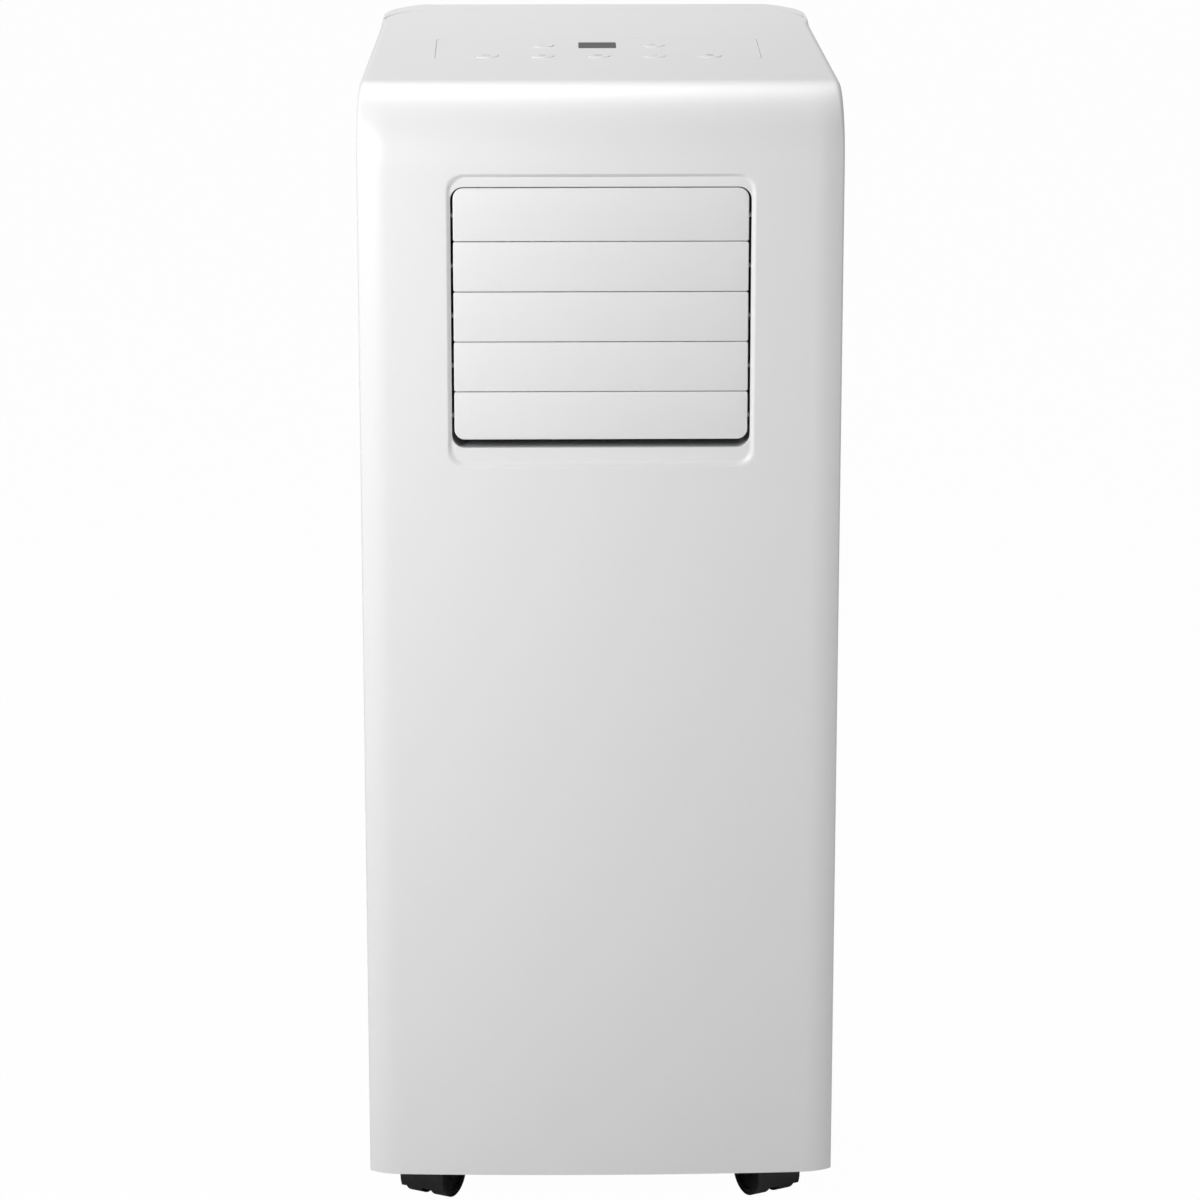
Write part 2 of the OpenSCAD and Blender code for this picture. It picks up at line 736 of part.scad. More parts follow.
module compressor() {
    dome = 12;
    color(black) translate([comp_c[0], comp_c[1], 0]) {
        translate([0, 0, comp_z0 + dome]) cylinder(r = comp_r, h = comp_top - comp_z0 - 2 * dome);
        // domed ends
        for (up = [0, 1]) {
            z = up ? comp_top - dome : comp_z0 + dome;
            ball = (comp_r * comp_r + dome * dome) / (2 * dome);
            intersection() {
                translate([0, 0, up ? z - ball + dome : z + ball - dome]) sphere(ball, $fn = 96);
                translate([0, 0, up ? z - eps : comp_z0]) cylinder(r = comp_r, h = dome + eps);
            }
        }
        translate([0, 0, comp_z0 - 6]) linear_extrude(3) difference() {
            union() {
                circle(40);
                for (a = [90, 210, 330]) rotate(a) {
                    translate([0, -9]) square([58, 18]);
                    translate([58, 0]) circle(9);
                }
            }
            for (a = [90, 210, 330]) rotate(a) translate([58, 0]) circle(4);
        }
        translate([0, 0, comp_z0 - 4]) cylinder(r = 30, h = 10);
        translate([0, 0, comp_top - 2]) cylinder(r = 5, h = 6);
    }
}

module compressor_feet() {
    color(black) translate([comp_c[0], comp_c[1], 0]) for (a = [90, 210, 330]) rotate(a) translate([58, 0, 0])
        difference() {
            union() {
                translate([0, 0, pan_top]) cylinder(r = 8.5, h = comp_z0 - 6.2 - pan_top);
                translate([0, 0, pan_top]) cylinder(r = 3.7, h = comp_z0 - pan_top);
            }
            translate([0, 0, pan_top - 1]) cylinder(r = 1.5, h = 40);
        }
}

module accumulator() {
    away = comp_c - acc_c;
    gap = norm(away) - comp_r - lay;
    color(black) translate([acc_c[0], acc_c[1], 0]) {
        translate([0, 0, 92]) cylinder(r = acc_r, h = acc_top - 104);
        for (z = [92, acc_top - 12]) translate([0, 0, z]) sphere(acc_r, $fn = 48);
        rotate(atan2(away[1], away[0])) {
            translate([0, 0, 78]) rotate([0, 90, 0]) cylinder(r = 4, h = gap);
            translate([0, -6, 150]) cube([gap, 12, 14]);
        }
        translate([0, 0, acc_top]) cylinder(r = 4, h = 10);
    }
}

// Where the pipes pass the partition
pipe_a_x = -105;
pipe_a_y = 60;
pipe_b_x = -116;
pipe_b_y = 97;
suction_r = 4;
pipe_color = copper;

module discharge_pipe() {
    side_x = -cond_w - 9;
    coil_y = cond_y + coil_t / 2;
    color(pipe_color) pipe([[comp_c[0], comp_c[1], comp_top + 4 + lay], [comp_c[0], comp_c[1], 256],
        [side_x, comp_c[1], 256], [side_x, coil_y, 256], [side_x, coil_y, 160],
        [-cond_w - lay, coil_y, 160]], 3.5);
}

module suction_pipe() {
    up_z = mid_top + 76;
    coil_y = evap_y + coil_t / 2;
    color(pipe_color) pipe([[acc_c[0], acc_c[1], acc_top + 10 + lay], [acc_c[0], acc_c[1], 292],
        [pipe_a_x, acc_c[1], 292], [pipe_a_x, pipe_a_y, 292], [pipe_a_x, pipe_a_y, up_z],
        [pipe_a_x, coil_y, up_z], [-evap_w - lay, coil_y, up_z]], suction_r);
}

module capillary_tube() {
    coil_y = cond_y + coil_t / 2;
    up_z = evap_z0 + 34;
    color(pipe_color) pipe([[-cond_w - lay, coil_y, 74], [pipe_b_x, coil_y, 74], [pipe_b_x, coil_y, 110],
        [pipe_b_x, pipe_b_y, 110], [pipe_b_x, pipe_b_y, up_z], [-evap_w - lay, pipe_b_y, up_z]], 1.5);
}

// ---------------------------------------------------------------- electrics

box_x0 = 94;
box_x1 = 126;
box_y0 = -108;
box_y1 = -14;
box_top = mid_top + 150;

module electrical_box() {
    color(steel) difference() {
        block([box_x0, box_y0, mid_top], [box_x1, box_y1, box_top]);
        block([box_x0 + 1.5, box_y0 + 1.5, mid_top + 1.5], [box_x1 + 1, box_y1 - 1.5, box_top - 1.5]);
    }
}

module electrical_cover() {
    color(steel) block([box_x1 + 0.2, box_y0, mid_top], [box_x1 + 1.4, box_y1, box_top]);
}

module main_board() {
    color(green) {
        block([box_x0 + 6, box_y0 + 4, mid_top + 50], [box_x0 + 7.6, box_y1 - 4, box_top - 6]);
        for (y = [box_y0 + 12, box_y1 - 12], z = [mid_top + 58, box_top - 14])
            rod_x(y, z, 2.5, box_x0 + 1.6, box_x0 + 6 + eps);
        block([box_x0 + 7.6 - eps, box_y0 + 20, mid_top + 64], [box_x0 + 21, box_y0 + 44, mid_top + 84]);
        block([box_x0 + 7.6 - eps, box_y0 + 54, mid_top + 70], [box_x0 + 16, box_y0 + 76, mid_top + 98]);
    }
}

module capacitor() {
    color(steel) translate([box_x0 + 16, (box_y0 + box_y1) / 2, mid_top + 1.6]) {
        cylinder(r = 13, h = 40);
        for (y = [-4, 4]) translate([-1, y - 2, 40 - eps]) cube([2, 4, 5]);
    }
}

module display_board() {
    z1 = board_top;
    color(green) on_top(0, panel_y) {
        translate([-80, -30, z1 - 1.6]) cube([160, 54, 1.6]);
        for (x = [-77, 77], y = [-27, 20])
            translate([x, y, z1 - eps]) cylinder(r = 2.5, h = -z1 - wall - 0.1);
        translate([-9, display_y - panel_y - 7, z1 - eps]) cube([18, 14, 3.2]);
    }
}

// ---------------------------------------------------------------- controls

module control_panel() {
    color(white) difference() {
        on_top(0, panel_y) translate([0, 0, -panel_t]) linear_extrude(panel_t)
            round_rect(panel_w, panel_d, 4);
        at_buttons() translate([0, 0, -5]) cylinder(r = button_r + 0.25, h = 10);
        on_top(0, display_y) translate([0, 0, -5]) linear_extrude(10)
            round_rect(display_w + 0.3, display_d + 0.3, 1.15);
    }
}

module display_window() {
    color(dark_glass) on_top(0, display_y) translate([0, 0, -panel_t + 0.02])
        linear_extrude(panel_t - 0.02) round_rect(display_w, display_d, 1);
}

module button(i) {
    p = button_places[i];
    color(white) on_top(p[1], display_y - (1 - p[2]) * row_pitch) {
        translate([0, 0, -1.5]) cylinder(r = button_r, h = 1.5 + 0.3);
        translate([0, 0, -2.4]) cylinder(r = button_r + 1, h = 1);
        // the stem ends short of the board by the travel and a little more
        translate([0, 0, board_top + button_travel + 0.2])
            cylinder(r = 2, h = -board_top - button_travel - 2.4);
    }
}

module button_plus() { button(0); }
module button_minus() { button(1); }
module button_1() { button(2); }
module button_2() { button(3); }
module button_3() { button(4); }
module button_4() { button(5); }
module button_5() { button(6); }

// ---------------------------------------------------------------- rear fittings

module upper_grille() {
    color(white) grille(grille_half_w - fit, upper_z0 + fit, upper_z1 - fit, half_d - 4.5, half_d - 0.4);
}

module air_filter() {
    w = grille_half_w - 3;
    z0 = upper_z0 + 3;
    z1 = upper_z1 - 3;
    y1 = half_d - 4.5 - lay;
    color(grey) {
        plate_y(y1 - 3, y1) difference() {
            translate([-w, z0]) square([2 * w, z1 - z0]);
            translate([-w + 4, z0 + 4]) square([2 * w - 8, z1 - z0 - 8]);
        }
        for (i = [1 : 11]) {
            z = z0 + i * (z1 - z0) / 12;
            wide(w - 3, y1 - 2.4, y1 - 0.8, z - 0.8, z + 0.8);
        }
        for (i = [-3 : 3]) {
            x = i * w / 4;
            block([x - 0.8, y1 - 2.4, z0 + 3], [x + 0.8, y1 - 0.8, z1 - 3]);
        }
    }
}

module lower_grille() {
    color(white) grille(grille_half_w - fit, lower_z0 + fit, lower_z0 + lower_intake_h - fit,
        half_d - 4.5, half_d - 0.4);
}

// Rubber plug in a drain spout
module drain_plug(x, z) {
    color(black) {
        rod_y(x, z, drain_r - run, half_d - 14, half_d - 3);
        rod_y(x, z, 6.5, half_d - 3.2, half_d - 0.6);
    }
}

module drain_plug_upper() { drain_plug(0, tray_drain_z); }
module drain_plug_lower() { drain_plug(drain_x, drain_z); }

module cord_gland() {
    color(black) difference() {
        union() {
            rod_y(gland_x, gland_z, 6.8, rear_in - 6, half_d - 0.4);
            rod_y(gland_x, gland_z, 8, rear_in - 2.5, rear_in - 0.2);
        }
        rod_y(gland_x, gland_z, 3.6, rear_in - 10, half_d + 1);
    }
}

// Outline of the hand grip in Y and Z, as a prism along X from x0 to x1
module handle_outline(grow, x0, x1) {
    translate([x0, 0, 0]) rotate([90, 0, 90]) linear_extrude(x1 - x0)
        round_rect(handle_y1 - handle_y0 + 2 * grow, handle_z1 - handle_z0 + 2 * grow, 12 + grow);
}

module handle(side) {
    color(grey) on_side(side) difference() {
        union() {
            handle_outline(0, -handle_depth, -0.3);
            handle_outline(3, -wall - 2.3, -wall - 0.3);
        }
        handle_outline(-2.2, -handle_depth + 2, 5);
    }
}

module handle_left() { handle(-1); }
module handle_right() { handle(1); }

module casing_screws() {
    color(steel) for (x = [-screw_x, screw_x], i = [0, 1]) {
        z = screw_z[i];
        length = i == 0 ? 12 : 34;
        rod_y(x, z, 3.5, half_d - 4.9, half_d - 2.6);
        rod_y(x, z, 1.5, half_d - 5 - length, half_d - 4.8);
    }
}

// ---------------------------------------------------------------- castors

// Puts a castor, drawn with its swivel axis at the origin and its axle along X, into place
module at_castor(i) {
    rear = i > 1;
    side = i % 2 == 0 ? -1 : 1;
    turn = rear ? 180 + side * castor_turn : side * castor_turn;
    translate([side * (rear ? rear_castor_x : castor_x), rear ? rear_castor_y : -castor_y, 0])
        rotate([0, 0, turn]) children();
}

web_w = 6;
hood_in = wheel_r + 1;
hood_out = wheel_r + 2.4;
castor_half = web_w / 2 + 0.5 + wheel_w + 1.2;

module castor_housing(i) {
    color(black) at_castor(i) {
        difference() {
            union() {
                // central web round the axle
                rod_x(trail, wheel_r, 8, -web_w / 2, web_w / 2);
                block([-web_w / 2, trail - 8, wheel_r], [web_w / 2, trail + 8, wheel_r + 17]);
                difference() {
                    rod_x(trail, wheel_r, hood_out, -castor_half, castor_half);
                    rod_x(trail, wheel_r, hood_in, -castor_half - 1, -web_w / 2);
                    rod_x(trail, wheel_r, hood_in, web_w / 2, castor_half + 1);
                    // the hood is open towards the floor, and higher at the back
                    translate([0, trail, wheel_r]) rotate([18, 0, 0]) translate([-far / 2, -far / 2, -far])
                        cube([far, far, far - 2]);
                }
            }
            rod_x(trail, wheel_r, 2 + run, -far, far);
        }
        difference() {
            translate([0, 0, wheel_r + hood_in - 2]) cylinder(r = 9, h = pan_z - lay - wheel_r - hood_in + 2);
            rod_x(trail, wheel_r, hood_in, -castor_half, castor_half);
        }
        translate([0, 0, pan_z - 1]) cylinder(r = stem_r, h = 16);
    }
}

module castor_wheels(i) {
    color(black) at_castor(i) {
        for (side = [-1, 1]) {
            x0 = side > 0 ? web_w / 2 + 0.5 : -web_w / 2 - 0.5 - wheel_w;
            difference() {
                rod_x(trail, wheel_r, wheel_r, x0, x0 + wheel_w);
                rod_x(trail, wheel_r, wheel_r - 4, side > 0 ? x0 + wheel_w - 1.2 : x0 - 1,
                    side > 0 ? x0 + wheel_w + 1 : x0 + 1.2);
            }
            rod_x(trail, wheel_r, 4, side > 0 ? x0 + wheel_w - 2 : x0 + 0.2,
                side > 0 ? x0 + wheel_w - 0.2 : x0 + 2);
        }
        rod_x(trail, wheel_r, 2, -web_w / 2 - 1, web_w / 2 + 1);
    }
}

module castor_housing_fl() { castor_housing(0); }
module castor_housing_fr() { castor_housing(1); }
module castor_housing_rl() { castor_housing(2); }
module castor_housing_rr() { castor_housing(3); }
module castor_wheel_fl() { castor_wheels(0); }
module castor_wheel_fr() { castor_wheels(1); }
module castor_wheel_rl() { castor_wheels(2); }
module castor_wheel_rr() { castor_wheels(3); }

base_pan();
front_cover();
rear_cover();
partition();
louvre_frame();
louvre_1();
louvre_2();
louvre_3();
louvre_4();
louvre_5();
louvre_link();
air_duct();
blower_housing();
blower_wheel();
blower_motor();
evaporator();
evaporator_tray();
condenser();
condenser_fan_housing();
condenser_fan_wheel();
condenser_fan_motor();
exhaust_duct();
exhaust_collar();
compressor();
compressor_feet();
accumulator();
discharge_pipe();
suction_pipe();
capillary_tube();
electrical_box();
electrical_cover();
main_board();
capacitor();
control_panel();
display_window();
display_board();
button_plus();
button_minus();
button_1();
button_2();
button_3();
button_4();
button_5();
upper_grille();
air_filter();
lower_grille();
drain_plug_upper();
drain_plug_lower();
cord_gland();
handle_left();
handle_right();
castor_housing_fl();
castor_housing_fr();
castor_housing_rl();
castor_housing_rr();
castor_wheel_fl();
castor_wheel_fr();
castor_wheel_rl();
castor_wheel_rr();
casing_screws();
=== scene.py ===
"""Portable air conditioner: visible shell, louvre, controls and castors, modelled round the frame."""

import json
import logging
import math
from dataclasses import dataclass, field
from enum import Enum

import bmesh
import bpy
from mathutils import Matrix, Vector

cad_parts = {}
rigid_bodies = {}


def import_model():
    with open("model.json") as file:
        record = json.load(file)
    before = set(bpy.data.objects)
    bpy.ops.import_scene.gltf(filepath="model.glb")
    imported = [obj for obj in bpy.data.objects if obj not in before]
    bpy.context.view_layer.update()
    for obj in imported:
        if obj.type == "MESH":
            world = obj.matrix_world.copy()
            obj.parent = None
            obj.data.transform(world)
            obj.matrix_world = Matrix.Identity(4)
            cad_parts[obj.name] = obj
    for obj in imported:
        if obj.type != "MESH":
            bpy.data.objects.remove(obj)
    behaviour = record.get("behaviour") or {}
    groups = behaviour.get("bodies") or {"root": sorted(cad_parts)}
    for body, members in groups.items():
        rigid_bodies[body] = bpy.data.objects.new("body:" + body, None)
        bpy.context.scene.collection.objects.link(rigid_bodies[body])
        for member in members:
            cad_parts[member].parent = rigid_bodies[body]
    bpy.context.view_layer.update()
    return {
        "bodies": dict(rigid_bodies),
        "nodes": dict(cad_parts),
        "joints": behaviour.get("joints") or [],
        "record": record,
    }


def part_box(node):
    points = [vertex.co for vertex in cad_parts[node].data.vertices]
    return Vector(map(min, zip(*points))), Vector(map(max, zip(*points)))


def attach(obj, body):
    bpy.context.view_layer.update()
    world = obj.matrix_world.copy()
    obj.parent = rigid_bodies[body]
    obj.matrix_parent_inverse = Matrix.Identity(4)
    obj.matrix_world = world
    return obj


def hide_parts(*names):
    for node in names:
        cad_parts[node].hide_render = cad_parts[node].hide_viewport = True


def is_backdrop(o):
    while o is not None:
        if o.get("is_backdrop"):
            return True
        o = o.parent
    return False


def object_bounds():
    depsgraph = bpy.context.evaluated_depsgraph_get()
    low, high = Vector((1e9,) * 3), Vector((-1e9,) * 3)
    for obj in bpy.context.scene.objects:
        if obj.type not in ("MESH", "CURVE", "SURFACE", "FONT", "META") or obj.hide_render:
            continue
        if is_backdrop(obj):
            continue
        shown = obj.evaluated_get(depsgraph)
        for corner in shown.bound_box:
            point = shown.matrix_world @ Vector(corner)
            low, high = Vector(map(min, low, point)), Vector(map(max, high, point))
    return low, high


LOG = logging.getLogger("air_conditioner")
MM = 0.001


# ---------------------------------------------------------------- mesh helpers


def deselect() -> None:
    """Deselect every object."""
    bpy.ops.object.select_all(action="DESELECT")


def activate(obj: bpy.types.Object) -> None:
    """Select one object alone and make it the active one.

    Args:
        obj: the object.
    """
    deselect()
    obj.select_set(True)
    bpy.context.view_layer.objects.active = obj


def settle(obj: bpy.types.Object) -> None:
    """Move an object's place, turn and scale into its mesh.

    Args:
        obj: the object.
    """
    activate(obj)
    bpy.ops.object.transform_apply(location=True, rotation=True, scale=True)


def apply_all(obj: bpy.types.Object) -> None:
    """Apply every modifier of an object, in order.

    Args:
        obj: the object.
    """
    activate(obj)
    for name in [m.name for m in obj.modifiers]:
        bpy.ops.object.modifier_apply(modifier=name)


def box(name: str, low: Vector, high: Vector) -> bpy.types.Object:
    """Add a block between two corners.

    Args:
        name: the new object's name.
        low: its lowest corner.
        high: its highest corner.

    Returns:
        The block, with its place in its mesh.
    """
    deselect()
    low, high = Vector(low), Vector(high)
    bpy.ops.mesh.primitive_cube_add(size=1, location=(low + high) / 2)
    obj = bpy.context.object
    obj.name = name
    obj.scale = high - low
    settle(obj)
    return obj


def rod(name: str, start: Vector, end: Vector, radius: float, sides: int = 48) -> bpy.types.Object:
    """Add a round rod between two points.

    Args:
        name: the new object's name.
        start: middle of one end.
        end: middle of the other end.
        radius: its radius.
        sides: its number of sides.

    Returns:
        The rod, with its place in its mesh.
    """
    deselect()
    start, end = Vector(start), Vector(end)
    run = end - start
    turn = run.to_track_quat("Z", "Y").to_euler()
    bpy.ops.mesh.primitive_cylinder_add(
        vertices=sides, radius=radius, depth=run.length, location=(start + end) / 2, rotation=turn)
    obj = bpy.context.object
    obj.name = name
    settle(obj)
    return obj


def bevel_where(obj: bpy.types.Object, test, width: float, segments: int) -> None:
    """Bevel the edges that pass a test.

    Args:
        obj: the object.
        test: says of two end points whether their edge is bevelled.
        width: width of the bevel.
        segments: number of segments of its round.
    """
    activate(obj)
    bpy.ops.object.mode_set(mode="EDIT")
    bpy.ops.mesh.select_mode(type="EDGE")
    bpy.ops.mesh.select_all(action="DESELECT")
    mesh = bmesh.from_edit_mesh(obj.data)
    for edge in mesh.edges:
        edge.select_set(test(edge.verts[0].co, edge.verts[1].co))
    bmesh.update_edit_mesh(obj.data)
    bpy.ops.mesh.bevel(offset=width, segments=segments, affect="EDGES")
    bpy.ops.object.mode_set(mode="OBJECT")


def soften(obj: bpy.types.Object, width: float, segments: int = 2, angle: float = 40.0) -> None:
    """Round every sharp edge a little and shade the object smooth.

    Args:
        obj: the object.
        width: width of the rounding.
        segments: number of its segments.
        angle: edges sharper than this many degrees are rounded.
    """
    edge = obj.modifiers.new("edge", "BEVEL")
    edge.width = width
    edge.segments = segments
    edge.limit_method = "ANGLE"
    edge.angle_limit = math.radians(angle)
    edge.use_clamp_overlap = True
    edge.harden_normals = False
    apply_all(obj)
    smooth(obj, angle)


def smooth(obj: bpy.types.Object, angle: float = 40.0) -> None:
    """Shade smooth, with edges over an angle left sharp.

    Args:
        obj: the object.
        angle: the angle in degrees.
    """
    activate(obj)
    bpy.ops.object.shade_smooth_by_angle(angle=math.radians(angle))


def join(parts: list[bpy.types.Object], name: str) -> bpy.types.Object:
    """Join objects into one.

    Args:
        parts: the objects.
        name: the joined object's name.

    Returns:
        The joined object.
    """
    deselect()
    for part in parts:
        part.select_set(True)
    bpy.context.view_layer.objects.active = parts[0]
    bpy.ops.object.join()
    parts[0].name = name
    return parts[0]


def cut(obj: bpy.types.Object, cutters: list[bpy.types.Object], operation: str = "DIFFERENCE") -> None:
    """Cut shapes out of an object, or keep what it shares with them.

    Args:
        obj: the object that is cut.
        cutters: the shapes, which are used up.
        operation: DIFFERENCE, INTERSECT or UNION.
    """
    for cutter in cutters:
        step = obj.modifiers.new("cut", "BOOLEAN")
        step.operation = operation
        step.solver = "EXACT"
        step.object = cutter
        apply_all(obj)
        bpy.data.objects.remove(cutter)


def mesh_object(name: str, verts: list[Vector], faces: list[tuple[int, ...]]) -> bpy.types.Object:
    """Make an object from computed points, merging those that meet.

    Args:
        name: its name.
        verts: its points.
        faces: its faces, as indices into the points.

    Returns:
        The object.
    """
    data = bpy.data.meshes.new(name)
    data.from_pydata([tuple(v) for v in verts], [], faces)
    obj = bpy.data.objects.new(name, data)
    bpy.context.scene.collection.objects.link(obj)
    activate(obj)
    bpy.ops.object.mode_set(mode="EDIT")
    bpy.ops.mesh.select_all(action="SELECT")
    bpy.ops.mesh.remove_doubles(threshold=0.02 * MM)
    bpy.ops.mesh.normals_make_consistent(inside=False)
    bpy.ops.object.mode_set(mode="OBJECT")
    return obj


def dress(obj: bpy.types.Object, finish: bpy.types.Material) -> None:
    """Give an object one material.

    Args:
        obj: the object.
        finish: the material.
    """
    obj.data.materials.clear()
    obj.data.materials.append(finish)


# ---------------------------------------------------------------- finishes


class Grain(Enum):
    """How a finish breaks up its surface."""

    FINE = "fine"
    BRUSHED = "brushed"
    FINS = "fins"


@dataclass(frozen=True)
class Finish:
    """A moulded, painted or metal surface with fine grain and slight unevenness."""

    name: str
    colour: tuple[float, float, float]
    rough: float = 0.4
    metal: float = 0.0
    grain: Grain = Grain.FINE
    grain_size: float = 0.35 * MM
    bump: float = 0.05
    tint: float = 0.03
    specular: float = 0.5
    coat: float = 0.0

    def build(self) -> bpy.types.Material:
        """Make the node material.

        Returns:
            The material.
        """
        mat = bpy.data.materials.new(self.name)
        mat.use_nodes = True
        nodes, links = mat.node_tree.nodes, mat.node_tree.links
        shader = nodes["Principled BSDF"]
        shader.inputs["Metallic"].default_value = self.metal
        shader.inputs["Specular IOR Level"].default_value = self.specular
        shader.inputs["Coat Weight"].default_value = self.coat
        shader.inputs["Coat Roughness"].default_value = 0.12
        place = nodes.new("ShaderNodeTexCoord").outputs["Object"]
        fine = self.pattern(nodes, links, place)
        cloud = nodes.new("ShaderNodeTexNoise")
        cloud.inputs["Scale"].default_value = 9.0
        cloud.inputs["Detail"].default_value = 3.0
        links.new(place, cloud.inputs["Vector"])
        tone = nodes.new("ShaderNodeMix")
        tone.data_type = "RGBA"
        tone.inputs["A"].default_value = (*[c * (1 - self.tint) for c in self.colour], 1)
        tone.inputs["B"].default_value = (*[min(1.0, c * (1 + self.tint)) for c in self.colour], 1)
        links.new(cloud.outputs["Fac"], tone.inputs["Factor"])
        links.new(tone.outputs["Result"], shader.inputs["Base Color"])
        dull = nodes.new("ShaderNodeMapRange")
        dull.inputs["To Min"].default_value = self.rough * 0.9
        dull.inputs["To Max"].default_value = min(1.0, self.rough * 1.12)
        links.new(fine, dull.inputs["Value"])
        links.new(dull.outputs["Result"], shader.inputs["Roughness"])
        raised = nodes.new("ShaderNodeBump")
        raised.inputs["Strength"].default_value = self.bump
        raised.inputs["Distance"].default_value = 0.1 * MM
        links.new(fine, raised.inputs["Height"])
        links.new(raised.outputs["Normal"], shader.inputs["Normal"])
        return mat

    def pattern(self, nodes: bpy.types.Nodes, links: bpy.types.NodeLinks,
                place: bpy.types.NodeSocket) -> bpy.types.NodeSocket:
        """Add the nodes of the grain.

        Args:
            nodes: the material's nodes.
            links: the material's links.
            place: the coordinates that the grain reads.

        Returns:
            The grain's height.
        """
        scale = 1 / self.grain_size
        if self.grain in (Grain.FINE, Grain.BRUSHED):
            noise = nodes.new("ShaderNodeTexNoise")
            noise.inputs["Scale"].default_value = scale if self.grain is Grain.FINE else 1.0
            noise.inputs["Detail"].default_value = 2.0
            if self.grain is Grain.BRUSHED:
                stretch = nodes.new("ShaderNodeMapping")
                stretch.inputs["Scale"].default_value = (scale, scale * 0.03, scale)
                links.new(place, stretch.inputs["Vector"])
                place = stretch.outputs["Vector"]
            links.new(place, noise.inputs["Vector"])
            return noise.outputs["Fac"]
        wave = nodes.new("ShaderNodeTexWave")
        wave.bands_direction = "X"
        wave.inputs["Scale"].default_value = scale / math.tau
        wave.inputs["Distortion"].default_value = 0.0 if self.grain is Grain.FINS else 0.6
        links.new(place, wave.inputs["Vector"])
        return wave.outputs["Fac"]


@dataclass
class Finishes:
    """Every finish of the object, by the record's material slot."""

    white: Finish = Finish("white_plastic", (0.80, 0.80, 0.80), rough=0.42, bump=0.04, tint=0.006)
    grey: Finish = Finish("grey_plastic", (0.42, 0.43, 0.44), rough=0.5, tint=0.03)
    black: Finish = Finish("black_plastic", (0.012, 0.012, 0.013), rough=0.38, tint=0.1, bump=0.08)
    glass: Finish = Finish("display_glass", (0.1, 0.1, 0.105), rough=0.4, coat=0.15, bump=0.01)
    rubber: Finish = Finish("rubber", (0.02, 0.02, 0.021), rough=0.75, bump=0.15, tint=0.15)
    paint: Finish = Finish("black_paint", (0.018, 0.018, 0.02), rough=0.3, coat=0.4, bump=0.1,
                           grain_size=1.2 * MM)
    steel: Finish = Finish("plated_steel", (0.55, 0.56, 0.58), rough=0.34, metal=1.0, grain=Grain.BRUSHED,
                           bump=0.12)
    fins: Finish = Finish("aluminium_fins", (0.68, 0.69, 0.71), rough=0.36, metal=1.0, grain=Grain.FINS,
                          grain_size=1.6 * MM, bump=0.9)
    copper: Finish = Finish("copper", (0.64, 0.28, 0.14), rough=0.3, metal=1.0, grain=Grain.BRUSHED, bump=0.1,
                            tint=0.12)
    board: Finish = Finish("board", (0.02, 0.13, 0.05), rough=0.32, coat=0.3, tint=0.15)
    mark: Finish = Finish("panel_mark", (0.52, 0.52, 0.52), rough=0.45, tint=0.01)
    made: dict = field(default_factory=dict)

    def of(self, finish: Finish) -> bpy.types.Material:
        """The material of a finish, made once.

        Args:
            finish: the finish.

        Returns:
            Its material.
        """
        if finish.name not in self.made:
            self.made[finish.name] = finish.build()
        return self.made[finish.name]

    def dress_frame(self, frame: dict) -> None:
        """Give every CAD node the finish of its slot.
        """
        every = [self.white, self.grey, self.black, self.glass, self.rubber, self.paint, self.steel,
                 self.fins, self.copper, self.board]
        by_slot = {finish.name: finish for finish in every}
        for part in frame["record"]["subparts"]:
            node = frame["nodes"][part["node"]]
            dress(node, self.of(by_slot[part["material_slot"]]))
            smooth(node, 30)


# ---------------------------------------------------------------- casing


